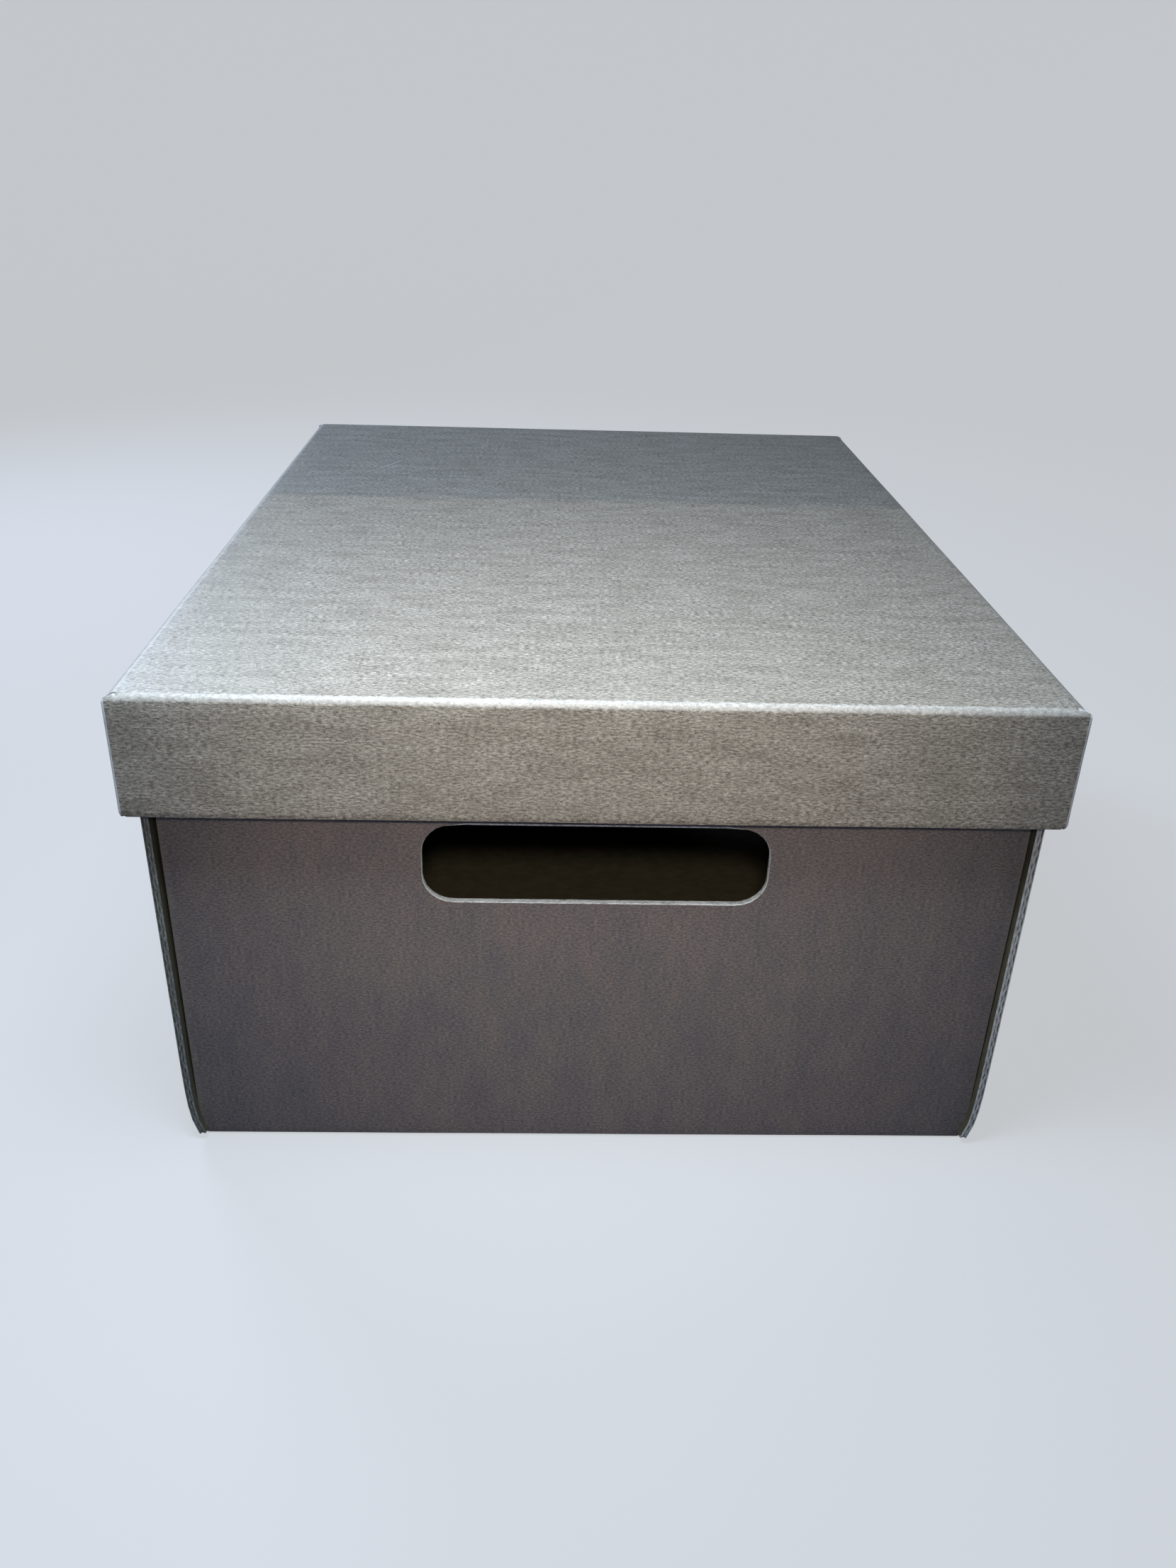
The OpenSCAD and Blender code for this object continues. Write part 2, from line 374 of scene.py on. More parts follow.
def bend_group():
    """Group that bends the selected board a quarter turn up, round a fold at Line along Across"""
    tree, given = new_group("bend_at_fold", (
        ("Geometry", "Geometry"), ("Selection", "Bool"), ("Across", "Vector"),
        *((label, "Float") for label in (*FOLD_INPUTS, "Board"))))
    outer = add(tree, ADD, given["Inner radius"], given["Board"])
    neutral = add(tree, MULTIPLY_ADD, given["Board"], 0.5, given["Inner radius"])
    length = add(tree, MULTIPLY, neutral, QUARTER)
    lift = add(tree, COMBINE, sockets={"Z": outer})
    out = add(tree, VECTOR, given["Across"], given["Line"], operation="SCALE")
    centre = add(tree, VECTOR, out, lift, operation="ADD")
    here = add(tree, "GeometryNodeInputPosition")
    reach = add(tree, VECTOR, add(tree, VECTOR, here, centre, operation="SUBTRACT"), given["Across"],
        operation="DOT_PRODUCT", out="Value")
    run = add(tree, "ShaderNodeClamp", reach, 0.0, length)
    back = add(tree, VECTOR, given["Across"], run, operation="SCALE")
    # Sharpness pushes the outer liner from a round arc towards the square corner round it
    angle = add(tree, DIVIDE, run, neutral)
    widest = add(tree, MAXIMUM, add(tree, COSINE, angle), add(tree, SINE, angle))
    corner = add(tree, MULTIPLY, outer, add(tree, SUBTRACT, add(tree, DIVIDE, 1.0, widest), 1.0))
    height = add(tree, SEPARATE, here, out="Z")
    depth = add(tree, "ShaderNodeClamp", add(tree, DIVIDE, height, given["Board"]))
    push = add(tree, MULTIPLY, add(tree, SUBTRACT, 1.0, depth), given["Sharpness"])
    push = add(tree, COMBINE, sockets={"Z": add(tree, MULTIPLY, corner, push)})
    back = add(tree, VECTOR, back, push, operation="ADD")
    axis = add(tree, VECTOR, given["Across"], UP, operation="CROSS_PRODUCT")
    turned = add(tree, "ShaderNodeVectorRotate",
        sockets={"Vector": add(tree, VECTOR, here, back, operation="SUBTRACT"), "Center": centre,
            "Axis": axis, "Angle": angle}, rotation_type="AXIS_ANGLE")
    # 1 in the middle of the fold and 0 at both of its ends
    share = add(tree, DIVIDE, run, length)
    middle = add(tree, ABSOLUTE, add(tree, MULTIPLY_ADD, share, 2.0, -1.0))
    crease = add(tree, MULTIPLY, add(tree, SUBTRACT, 1.0, middle), given["Selection"])
    # Scaled by how strong the fold's painted highlight and pressed washboard are
    crease = add(tree, MULTIPLY, crease, given["Wear"])
    crease = add(tree, MAXIMUM, crease, add(tree, NAMED, "crease", data_type="FLOAT"))
    marked = add(tree, STORE, given["Geometry"], True, "crease", crease, data_type="FLOAT")
    moved = add(tree, "GeometryNodeSetPosition",
        sockets={"Geometry": marked, "Selection": given["Selection"], "Position": turned})
    add(tree, "NodeGroupOutput", moved)
    return tree


def flutes(tree, geometry, given):
    """The fluted medium that shows in open cuts, as wavy strips along the flute lines"""
    is_line = add(tree, COMPARE, add(tree, NAMED, "flute", data_type="INT"), 1, data_type="INT",
        operation="EQUAL")
    lines = add(tree, "GeometryNodeSeparateGeometry",
        sockets={"Geometry": geometry, "Selection": is_line})
    sheet = lines.node.outputs["Inverted"]
    curve = add(tree, "GeometryNodeMeshToCurve", lines)
    step = add(tree, DIVIDE, given["Flute pitch"], FLUTE_STEPS)
    curve = add(tree, "GeometryNodeResampleCurve", sockets={"Curve": curve, "Length": step},
        mode="LENGTH")
    path = add(tree, "GeometryNodeCurveToMesh", curve)
    here = add(tree, "GeometryNodeInputPosition")
    along = add(tree, SEPARATE, here)
    drift = add(tree, "ShaderNodeTexNoise",
        sockets={"Vector": here, "W": given["Seed"], "Scale": 60.0, "Detail": 1.0}, noise_dimensions="4D")
    turns = add(tree, MULTIPLY_ADD, drift, 2.2,
        add(tree, MULTIPLY, add(tree, DIVIDE, along, given["Flute pitch"]), 2 * math.pi))
    height = add(tree, MULTIPLY, given["Flute height"], add(tree, SINE, turns))
    middle = add(tree, MULTIPLY_ADD, given["Medium"], -0.5, given["Flute middle"])
    lift = add(tree, COMBINE, sockets={"Z": add(tree, ADD, height, middle)})
    path = add(tree, "GeometryNodeSetPosition", sockets={"Geometry": path, "Offset": lift})
    inward = add(tree, NAMED, "inward", data_type="FLOAT_VECTOR")
    strip = add(tree, "GeometryNodeExtrudeMesh",
        sockets={"Mesh": path, "Offset": inward, "Offset Scale": given["Flute depth"]}, mode="EDGES")
    thick = add(tree, "GeometryNodeExtrudeMesh",
        sockets={"Mesh": strip, "Offset": add(tree, COMBINE, sockets={"Z": 1.0}),
            "Offset Scale": given["Medium"], "Individual": False}, mode="FACES")
    under = add(tree, "GeometryNodeFlipFaces", strip)
    strips = add(tree, "GeometryNodeJoinGeometry", [thick, under])
    strips = add(tree, "GeometryNodeMergeByDistance", sockets={"Geometry": strips, "Distance": 1e-06})
    facing = add(tree, VECTOR, add(tree, "GeometryNodeInputNormal"), inward, operation="DOT_PRODUCT",
        out="Value")
    cut = add(tree, LESS_THAN, add(tree, ABSOLUTE, facing), 0.5)
    strips = add(tree, STORE, strips, True, "paper", add(tree, ADD, cut, float(CUT)),
        data_type="INT", domain="FACE")
    return add(tree, "GeometryNodeJoinGeometry", [sheet, strips])


def fold_tree(name, folds, turned=False):
    """Tree that bends a flat blank at its folds, given as (label, least part, most part, across)"""
    labels = list(dict.fromkeys(fold[0] for fold in folds))
    sizes = ["Board", "Relief", "Flute pitch", "Flute height", "Flute depth", "Flute middle",
             "Medium", "Top"]
    sizes += [label + " " + end.lower() for label in labels for end in FOLD_INPUTS]
    papers = ("Liner", "Cut", "Medium paper", "Inside")
    tree, given = new_group(name, [("Geometry", "Geometry")] + [(s, "Float") for s in sizes]
                            + [("Seed", "Int")] + [(p, "Material") for p in papers])
    shape = flutes(tree, given["Geometry"], given)
    here = add(tree, "GeometryNodeInputPosition")
    shape = add(tree, STORE, shape, True, "flat", here, data_type="FLOAT_VECTOR")
    # The board is never quite flat: it dips inwards by up to Relief over about 90 mm
    across_board = add(tree, VECTOR, here, (1, 1, 0), operation="MULTIPLY")
    dips = add(tree, "ShaderNodeTexNoise",
        sockets={"Vector": across_board, "W": given["Seed"], "Scale": 11.0, "Detail": 1.5},
        noise_dimensions="4D")
    dip = add(tree, COMBINE, sockets={"Z": add(tree, MULTIPLY, dips, given["Relief"])})
    shape = add(tree, "GeometryNodeSetPosition", sockets={"Geometry": shape, "Offset": dip})
    bend = bend_group()
    part = add(tree, NAMED, "part", data_type="INT")
    for label, least, most, across in folds:
        low = add(tree, COMPARE, part, least, data_type="INT", operation="GREATER_EQUAL")
        high = add(tree, COMPARE, part, most, data_type="INT", operation="LESS_EQUAL")
        chosen = add(tree, "FunctionNodeBooleanMath", low, high, operation="AND")
        shape = add(tree, "GeometryNodeGroup",
            sockets={"Geometry": shape, "Selection": chosen, "Across": across, "Board": given["Board"],
                **{end: given[label + " " + end.lower()] for end in FOLD_INPUTS}}, node_tree=bend)
    if turned:
        shape = add(tree, "GeometryNodeTransform",
            sockets={"Geometry": shape, "Rotation": (math.pi, 0, 0),
                "Translation": add(tree, COMBINE, sockets={"Z": given["Top"]})})
    shape = add(tree, "GeometryNodeRealizeInstances", shape)
    paper = add(tree, NAMED, "paper", data_type="INT")
    for kind, label in enumerate(papers):
        chosen = add(tree, COMPARE, paper, kind, data_type="INT", operation="EQUAL")
        shape = add(tree, "GeometryNodeSetMaterial",
            sockets={"Geometry": shape, "Selection": chosen, "Material": given[label]})
    add(tree, "NodeGroupOutput", shape)
    return tree


def fold(name, mesh, tree, values):
    """Object with the folded mesh of a blank, as plain geometry"""
    obj = bpy.data.objects.new(name, mesh)
    bpy.context.scene.collection.objects.link(obj)
    modifier = obj.modifiers.new("fold", "NODES")
    modifier.node_group = tree
    for item in tree.interface.items_tree:
        if item.in_out == "INPUT" and item.name in values:
            modifier[item.identifier] = values[item.name]
    graph = bpy.context.evaluated_depsgraph_get()
    folded = bpy.data.meshes.new_from_object(
        obj.evaluated_get(graph), preserve_all_data_layers=True, depsgraph=graph)
    if not len(folded.polygons):
        raise RuntimeError(name + " came out empty")
    obj.modifiers.clear()
    obj.data = folded
    bpy.data.meshes.remove(mesh)
    folded.name = name
    return obj


def finish_piece(obj, body, nodes):
    """Faces the mesh outwards, shades it, and puts it on its body in place of the CAD nodes"""
    mesh = obj.data
    work = bmesh.new()
    work.from_mesh(mesh)
    bmesh.ops.recalc_face_normals(work, faces=work.faces[:])
    work.to_mesh(mesh)
    work.free()
    mesh.shade_smooth()
    mesh.set_sharp_from_angle(angle=math.radians(SHARP_EDGE))
    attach(obj, body)
    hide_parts(*nodes)


# Papers of the board


def new_material(name):
    """Node material: (material, its tree, its principled node)"""
    material = bpy.data.materials.new(name)
    material.use_nodes = True
    tree = material.node_tree
    return material, tree, next(n for n in tree.nodes if n.type == "BSDF_PRINCIPLED")


def pattern(tree, spot, sizes_mm, detail=2.0, roughness=0.55):
    """Noise whose features have those sizes in mm along u, v and through the board"""
    scaled = add(tree, VECTOR, spot, tuple(TO_MM / s for s in sizes_mm), operation="MULTIPLY")
    return add(tree, "ShaderNodeTexNoise",
        sockets={"Vector": scaled, "Scale": 1.0, "Detail": detail, "Roughness": roughness})


def stroke(tree, spot, mark):
    """1 on a mark given as (u, v, length, width, angle) in mm and degrees, fading out to 0"""
    u, v, length, width, angle = mark
    local = add(tree, "ShaderNodeMapping",
        sockets={"Vector": spot, "Location": (u / TO_MM, v / TO_MM, 0),
            "Rotation": (0, 0, math.radians(angle)), "Scale": (length / 2 / TO_MM, width / 2 / TO_MM, 1)},
        vector_type="TEXTURE")
    flat = add(tree, VECTOR, local, (1, 1, 0), operation="MULTIPLY")
    far = add(tree, VECTOR, flat, operation="LENGTH", out="Value")
    return add(tree, MAP_RANGE, far, 0.4, 1.0, 1.0, 0.0)


def painted(tree, colour, code, strength, *masks):
    """The colour with another laid over it, as far as strength times all the masks"""
    share = masks[0]
    for factor in (*masks[1:], strength):
        share = add(tree, MULTIPLY, share, factor)
    return add(tree, MIX, share, colour, linear(code), data_type="RGBA")


def kraft_liner(name, base, pitch, shade, clouds, gloss, grain, fibre, marks, painted_shade_line=None):
    """Machine-finished recycled kraft liner: dull paper with short fibres lying along the machine
    direction, a few dark specks, a faint sheen, and pale rub marks on its folds and faces"""
    material, tree, shader = new_material(name)
    spot = add(tree, "ShaderNodeAttribute", out="Vector", attribute_name="flat")
    # Real fibres are 0.03 mm thick. They are drawn from about 0.1 mm up, or they wouldn't show.
    fibres = pattern(tree, spot, (fibre, 0.66, 0.66), 3.0, 0.85)
    broad = pattern(tree, spot, (*clouds, clouds[0]), 4.0, 0.8)
    colour = add(tree, MIX, add(tree, MAP_RANGE, broad, 0.35, 0.65), linear(base), linear(shade),
        data_type="RGBA")
    light = add(tree, MAP_RANGE, fibres, 0.39, 0.7, 1.0 - 0.6 * grain, 1.0 + 1.5 * grain)
    along = add(tree, SEPARATE, spot)
    grey = add(tree, COMBINE, sockets={"X": light, "Y": light, "Z": light})
    colour = add(tree, MIX, 1.0, colour, grey, data_type="RGBA", blend_type="MULTIPLY")
    if painted_shade_line is not None:
        # Below that v, on the rear of the lid top, painted shade makes the paper darker and cooler, with
        # a soft edge
        across = along.node.outputs["Y"]
        under = add(tree, MAP_RANGE, across, (painted_shade_line - PAINTED_SHADE_BLUR) / TO_MM,
            (painted_shade_line + PAINTED_SHADE_BLUR) / TO_MM, 1.0, 0.0)
        colour = add(tree, MIX, under, colour, linear("#E8EDF3"), data_type="RGBA", blend_type="MULTIPLY")
    # About one cell of 11 mm in seven holds a dark speck
    scaled = add(tree, VECTOR, spot, (TO_MM / 11,) * 3, operation="MULTIPLY")
    cells = add(tree, "ShaderNodeTexVoronoi", sockets={"Vector": scaled, "Scale": 1.0})
    pick = add(tree, "ShaderNodeSeparateColor", cells.node.outputs["Color"])
    picked = add(tree, GREATER_THAN, pick, 0.85)
    speck = add(tree, MAP_RANGE, cells, 0.02, 0.045, 1.0, 0.0)
    colour = painted(tree, colour, "#1C1712", 0.7, picked, speck)
    crease = add(tree, "ShaderNodeAttribute", out="Fac", attribute_name="crease")
    # The folds get a painted highlight, pale in beads where the flutes under the liner lift it
    wave = add(tree, SINE, add(tree, MULTIPLY, along, 2 * math.pi / pitch))
    beads = add(tree, MULTIPLY_ADD, wave, 0.06, fibres)
    fold_highlight = add(tree, MAP_RANGE, crease, 0.0, 0.45)
    beads = add(tree, MAP_RANGE, beads, 0.3, 0.6, 0.8, 1.0)
    colour = painted(tree, colour, "#E6E4DE", 0.46, fold_highlight, beads)
    if painted_shade_line is not None:
        # The outer paper of the end walls is rubbed pale along its cut edges
        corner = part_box("lid")[1]
        edge = add(tree, NEAR, add(tree, ABSOLUTE, along), corner.x - 0.0004, 0.0005)
        end = add(tree, GREATER_THAN, add(tree, ABSOLUTE, across), corner.y - 0.002)
        colour = painted(tree, colour, "#F4F4F0", 0.95, edge, end)
    for mark, code, strength in marks:
        torn = add(tree, MAP_RANGE, fibres, 0.4, 0.55, 0.2, 1.0)
        colour = painted(tree, colour, code, strength, stroke(tree, spot, mark), torn)
    # The flutes make a faint washboard, which the creases press in deeper
    wash = add(tree, MULTIPLY, wave, add(tree, MULTIPLY_ADD, crease, 0.05, 0.03))
    height = add(tree, MULTIPLY_ADD, fibres, add(tree, MAP_RANGE, crease, 0.0, 0.5, 0.5, 0.1), wash)
    bump = add(tree, "ShaderNodeBump", sockets={"Strength": 0.6, "Distance": 0.0004, "Height": height})
    supply(tree, shader, {"Base Color": colour, "Normal": bump, "Roughness": gloss, "IOR": 1.5})
    return material


def cut_paper(name, pale, dark):
    """Die-cut edge of the board: torn, pale recycled fibre in streaks along the cut"""
    material, tree, shader = new_material(name)
    spot = add(tree, "ShaderNodeAttribute", out="Vector", attribute_name="flat")
    streaks = pattern(tree, spot, (2.0, 2.0, 0.4), 3.0, 0.8)
    blots = pattern(tree, spot, (5.0, 5.0, 1.4), 2.0)
    # The cuts on the left are darker than those on the right
    place = add(tree, "ShaderNodeTexCoord", out="Object")
    side = add(tree, MAP_RANGE, add(tree, SEPARATE, place), -0.15, -0.1, 0.6, -0.2)
    paleness = add(tree, SUBTRACT, add(tree, MAP_RANGE, streaks, 0.34, 0.6), side)
    # Those of the lid's end walls show only as a thin pale line
    out = add(tree, ABSOLUTE, add(tree, SEPARATE, place))
    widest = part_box("lid")[1].x
    line = add(tree, MAP_RANGE, out, widest - 0.0008, widest - 0.0006)
    paleness = add(tree, ADD, paleness, line)
    colour = add(tree, MIX, add(tree, MAP_RANGE, paleness, 0.0, 1.0), linear(dark), linear(pale),
        data_type="RGBA")
    blots = add(tree, SUBTRACT, add(tree, MAP_RANGE, blots, 0.5, 0.75, 0.0, 0.45), line)
    colour = add(tree, MIX, blots, colour, linear(dark), data_type="RGBA")
    bump = add(tree, "ShaderNodeBump", sockets={"Strength": 0.8, "Distance": 0.0003, "Height": streaks})
    supply(tree, shader, {"Base Color": colour, "Normal": bump, "Roughness": 0.9})
    return material


def plain_paper(name, base, shade, roughness):
    """Unfinished recycled paper inside the board and box, without a sheen"""
    material, tree, shader = new_material(name)
    spot = add(tree, "ShaderNodeAttribute", out="Vector", attribute_name="flat")
    clouds = pattern(tree, spot, (7.0, 4.0, 4.0), 3.0)
    colour = add(tree, MIX, add(tree, MAP_RANGE, clouds, 0.36, 0.64), linear(base), linear(shade),
        data_type="RGBA")
    supply(tree, shader, {"Base Color": colour, "Roughness": roughness})
    return material


# Settings shown in the panel


def length_setting(label, description, default):
    """Length in metres, shown in the scene's unit"""
    return FloatProperty(name=label, description=description, default=default, min=0.0,
                         precision=4, unit="LENGTH", subtype="DISTANCE")


def cad_size(node):
    """Extent of a CAD node"""
    low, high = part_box(node)
    return high - low


class BoardSettings(bpy.types.PropertyGroup):
    """Corrugated board"""

    thickness: length_setting("Thickness", "Thickness of the board", 0.0028)
    pitch: length_setting("Flute pitch", "Distance from one flute to the next", 0.0056)
    flute_height: length_setting("Flute height", "Rise of the crushed flutes at a cut", 0.0002)
    flute_middle: length_setting("Flute middle", "Height of the flutes' middle in the board", 0.0012)
    flute_depth: length_setting("Flute depth", "How far behind a cut the flutes are drawn", 0.0006)
    medium: length_setting("Medium", "Thickness of the crushed medium at a cut", 0.001)
    relief: length_setting("Relief", "Depth of the dips in the flat board", 0.0003)
    seed: IntProperty(name="Seed", description="Seed of the dips and of the flutes' drift", default=SEED)


class BodySettings(bpy.types.PropertyGroup):
    """Body of the box"""

    width: length_setting("Width", "Outside width of the body", cad_size("box_body").x)
    length: length_setting("Length", "Outside length of the side walls", cad_size("box_body").y)
    height: length_setting("Height", "Height of the side walls", cad_size("box_body").z)
    base_fold: length_setting("Base fold", "Inner radius of the folds along the base", 0.0006)
    sharp_fold: length_setting("Sharp fold", "Inner radius of the other folds", 0.0008)
    end_inset: length_setting("End inset", "Distance of the end walls behind the cut edges", 0.0032)
    flap: length_setting("Corner flap", "Length of the glued corner flaps", 0.07)
    flap_drop: length_setting("Flap drop", "Distance of the corner flaps below the rim", 0.003)
    flap_taper: length_setting("Flap taper", "How much narrower a corner flap is at its end", 0.006)
    hole_width: length_setting("Hole width", "Width of a hand hole", 0.131)
    hole_height: length_setting("Hole height", "Height of a hand hole", 0.033)
    hole_corner: length_setting("Hole corner", "Radius of a hand hole's corners", 0.0115)
    hole_top: length_setting("Hole top", "Height of the upper edge of a hand hole", 0.15)


class LidSettings(bpy.types.PropertyGroup):
    """Lid of the box"""

    width: length_setting("Width", "Width over the end walls", cad_size("lid").x)
    length: length_setting("Length", "Outside length of the lid", cad_size("lid").y)
    height: length_setting("Height", "Height of the lid's walls", cad_size("lid").z)
    end_lip: length_setting("End lip", "How far the end walls pass the side walls", 0.0007)
    side_fold: length_setting("Side fold", "Inner radius of the folds along the top", 0.0012)
    end_fold: length_setting("End fold", "Inner radius of the folds of the end walls", 0.0001)
    sharp_fold: length_setting("Corner fold", "Inner radius of the corner flaps' folds", 0.0008)
    flap: length_setting("Corner flap", "Length of the corner flaps", 0.06)
    play: length_setting("Play", "Play round the inner layer of an end wall", 0.0005)


class LookSettings(bpy.types.PropertyGroup):
    """Colours, as sRGB hex codes"""

    lid_liner: StringProperty(name="Lid liner", description="Colour of the lid", default="#A8A195")
    # The body's paper is drawn darker and greyer than the lid's: partly a darker paper, partly painted
    # shade
    body_liner: StringProperty(name="Body liner", description="Colour of the body", default="#877D78")
    cut: StringProperty(name="Cut edges", description="Colour of the cut edges", default="#F6F8F6")
    medium: StringProperty(name="Medium", description="Colour of the fluted paper", default="#8A887C")
    inside: StringProperty(name="Inside", description="Colour of the inner liner", default="#66604C")
    floor: StringProperty(name="Floor", description="Colour of the floor", default="#83868B")


class BoxSettings(bpy.types.PropertyGroup):
    """Everything about the box"""

    board: PointerProperty(type=BoardSettings)
    body: PointerProperty(type=BodySettings)
    lid: PointerProperty(type=LidSettings)
    looks: PointerProperty(type=LookSettings)


def in_mm(group):
    """The settings of a group as plain numbers, with lengths in mm"""
    out = {}
    for key in group.__annotations__:
        value = getattr(group, key)
        out[key] = value * TO_MM if isinstance(value, float) else value
    return out


def tree_values(board, papers, folds=()):
    """Inputs of a fold tree, for folds of (label, line in mm, inner radius, sharpness, wear)"""
    values = {
        "Board": board.thickness, "Relief": board.relief, "Flute pitch": board.pitch,
        "Flute height": board.flute_height, "Flute depth": board.flute_depth,
        "Flute middle": board.flute_middle, "Medium": board.medium, "Seed": board.seed,
        "Liner": papers[0], "Cut": papers[1], "Medium paper": papers[2], "Inside": papers[3],
    }
    for label, line, *rest in folds:
        for end, value in zip(FOLD_INPUTS, (line / TO_MM, *rest)):
            values[label + " " + end.lower()] = value
    return values


def papers_for(context, side):
    """The liner, cut edge, medium and inside papers of the lid or the body"""
    settings = context.scene.archive_box
    looks = settings.looks
    base = looks.lid_liner if side == "lid" else looks.body_liner
    wanted = {
        "kraft_liner_" + side: lambda n: kraft_liner(n, base, settings.board.pitch, **LINERS[side]),
        "die_cut_board_edge": lambda n: cut_paper(n, looks.cut, "#7C807A"),
        "fluting_medium": lambda n: plain_paper(n, looks.medium, "#77756A", 0.9),
        "unfinished_inner_liner": lambda n: plain_paper(n, looks.inside, "#5A5542", 0.85),
    }
    return [bpy.data.materials.get(name) or make(name) for name, make in wanted.items()]


# Pieces and stage


def mirrored(half, flip_u, flip_v):
    """The corners (u, v, cut) that close a symmetric outline, whose first half is given"""
    return [(u * flip_u, v * flip_v, half[i - 1][2] if i else "join")
            for i, (u, v, _) in enumerate(half)][::-1]


def turned_round(half):
    """Outline of two halves, the other one half a turn round from the one given"""
    return half + [(-u, -v, cut) for u, v, cut in half]


def flute_line(u0, u1, v, end, part):
    """Line for the flutes that show in the cut from u0 to u1 at v, which faces end"""
    way = math.copysign(FLUTE_END, u1 - u0)
    inner = v - end * FLUTE_LINE
    return (u0 + way, inner), (u1 - way, inner), -end, part


def hand_hole(half_w, height, corner, top, toward, steps=6):
    """Loop of a hand hole with round corners, from its crease at v = top towards +v or -v"""
    points = []
    far = height - corner
    for k, (side, deep) in enumerate(((1, corner), (-1, corner), (-1, far), (1, far))):
        for i in range(steps + 1):
            angle = QUARTER * (k + i / steps)
            u = side * (half_w - corner) + corner * math.cos(angle)
            v = top + toward * (deep - corner * math.sin(angle))
            points.append((u, v, "creased" if (k, i) == (0, steps) else "crushed"))
    return points


def lean(mesh):
    """Draws the walls in towards their feet, as the creases pull them on the real box"""
    co = np.zeros(len(mesh.vertices) * 3, np.float32)
    mesh.vertices.foreach_get("co", co)
    co = co.reshape(-1, 3).astype(float) * TO_MM
    part = np.zeros(len(co), np.int32)
    mesh.attributes["part"].data.foreach_get("value", part)
    z = np.maximum(co[:, 2], 0)
    foot = np.exp(-z / CURL_HEIGHT)
    drawn = np.maximum(0, DRAWN_IN * (1 - z / DRAWN_FROM))
    side = drawn + SIDE_CURL * foot
    left = np.where(co[:, 0] < 0, LEFT_LEAN * z / LEFT_HEIGHT, 0.0)
    end = drawn + END_GAP + left + END_CURL * foot
    near = np.clip((np.abs(co[:, 0]) - BASE_STILL) / BASE_RAMP, 0, 1)
    side = side * near * near * (3 - 2 * near)
    shift = np.where(part >= MAIN, side, end * np.abs(co[:, 0]) / END_HALF)
    co[:, 0] -= np.sign(co[:, 0]) * shift
    mesh.vertices.foreach_set("co", (co / TO_MM).astype(np.float32).ravel())
    mesh.update()


def build_body(context):
    """Cut and fold the body of the box"""
    settings = context.scene.archive_box
    board, size = settings.board, in_mm(settings.body)
    thick = board.thickness * TO_MM
    base_run = fold_run(size["base_fold"], thick)
    sharp_run = fold_run(size["sharp_fold"], thick)
    base_r, sharp_r = size["base_fold"] + thick, size["sharp_fold"] + thick
    side_line = size["width"] / 2 - base_r
    end_line = size["length"] / 2 - size["end_inset"] - sharp_r
    corner_line = size["width"] / 2 - thick - sharp_r
    side_end = side_line + base_run + size["height"] - base_r
    half_l = size["length"] / 2
    # In front of an end wall the board is cut away to most of the way round the base fold
    notch = side_line + 0.9 * base_run
    half = [
        (-side_end, -half_l, "open"), (-notch, -half_l, "shut"),
        (-notch, -end_line, "shut"), (-corner_line, -end_line, "join"),
        (corner_line, -end_line, "shut"), (notch, -end_line, "shut"),
        (notch, -half_l, "open"), (side_end, -half_l, "shut"),
    ]
    main = turned_round(half)
    corner_stop = corner_line + sharp_run
    flap_end = corner_stop + size["flap"] - sharp_r
    us = ticks((0, corner_line, side_line, side_line + base_run, side_end),
               (SPACING, 1, 0.45, SPACING))
    vs = ticks((0, end_line, half_l), (SPACING, 3.4))
    sheets = [(lambda u, v: MAIN, [main], us, vs)]
    lines = [flute_line(side * notch, side * side_end, end * half_l, end, MAIN)
             for side in (-1, 1) for end in (-1, 1)]
    wall_low = end_line + sharp_run
    rise = size["height"] - sharp_r
    rim_v = wall_low + rise
    flap_v = rim_v - size["flap_drop"]
    hole_v = wall_low + size["hole_top"] - sharp_r
    for end, part in ((-1, FRONT_END), (1, REAR_END)):
        taper = size["flap_taper"]
        # Half of an end wall with one of its corner flaps, and the web that joins them below
        right = [
            (corner_line, end_line, "shut"), (corner_line + 1.4, end_line + 0.6, "shut"),
            (corner_line + 1.9, wall_low - 0.3, "shut"), (corner_stop, wall_low, "open"),
            (flap_end, wall_low + taper, "shut"), (flap_end, flap_v - taper, "open"),
            (corner_stop, flap_v, "shut"), (corner_line, flap_v, "shut"),
            (corner_line, rim_v, "open"),
        ]
        loop = [(u, end * v, cut) for u, v, cut in right + mirrored(right, -1, 1)]
        hole = hand_hole(size["hole_width"] / 2, size["hole_height"], size["hole_corner"],
                         end * hole_v, -end)
        us = ticks((0, corner_line, corner_stop, flap_end), (SPACING, 0.55, SPACING))
        out = ticks((end_line, wall_low, rim_v), (0.55, SPACING))
        vs = sorted(end * v for v in out if v > 0)
        sheets.append((lambda u, v, part=part: part, [loop, hole], us, vs))
        lines.append(flute_line(-corner_line, corner_line, end * rim_v, end, part))
    mesh = blank_mesh("box_body_blank", sheets, thick, lines)
    folds = [("Corner", part, part, (side, 0, 0)) for part in (FRONT_END, REAR_END) for side in (-1, 1)]
    folds += [("Foot", FRONT_END, FRONT_END, (0, -1, 0)), ("Foot", REAR_END, REAR_END, (0, 1, 0))]
    folds += [("Side", MAIN, LID_SIDES, (side, 0, 0)) for side in (-1, 1)]
    sharp, base = settings.body.sharp_fold, settings.body.base_fold
    values = tree_values(board, papers_for(context, "body"), (
        ("Corner", corner_line, sharp, 0.5, 0.2), ("Foot", end_line, sharp, 0.5, 0.2),
        ("Side", side_line, base, 0.0, 0.3)))
    obj = fold("box_body_board", mesh, fold_tree("fold_body", folds), values)
    lean(obj.data)
    finish_piece(obj, "body", ["box_body"])


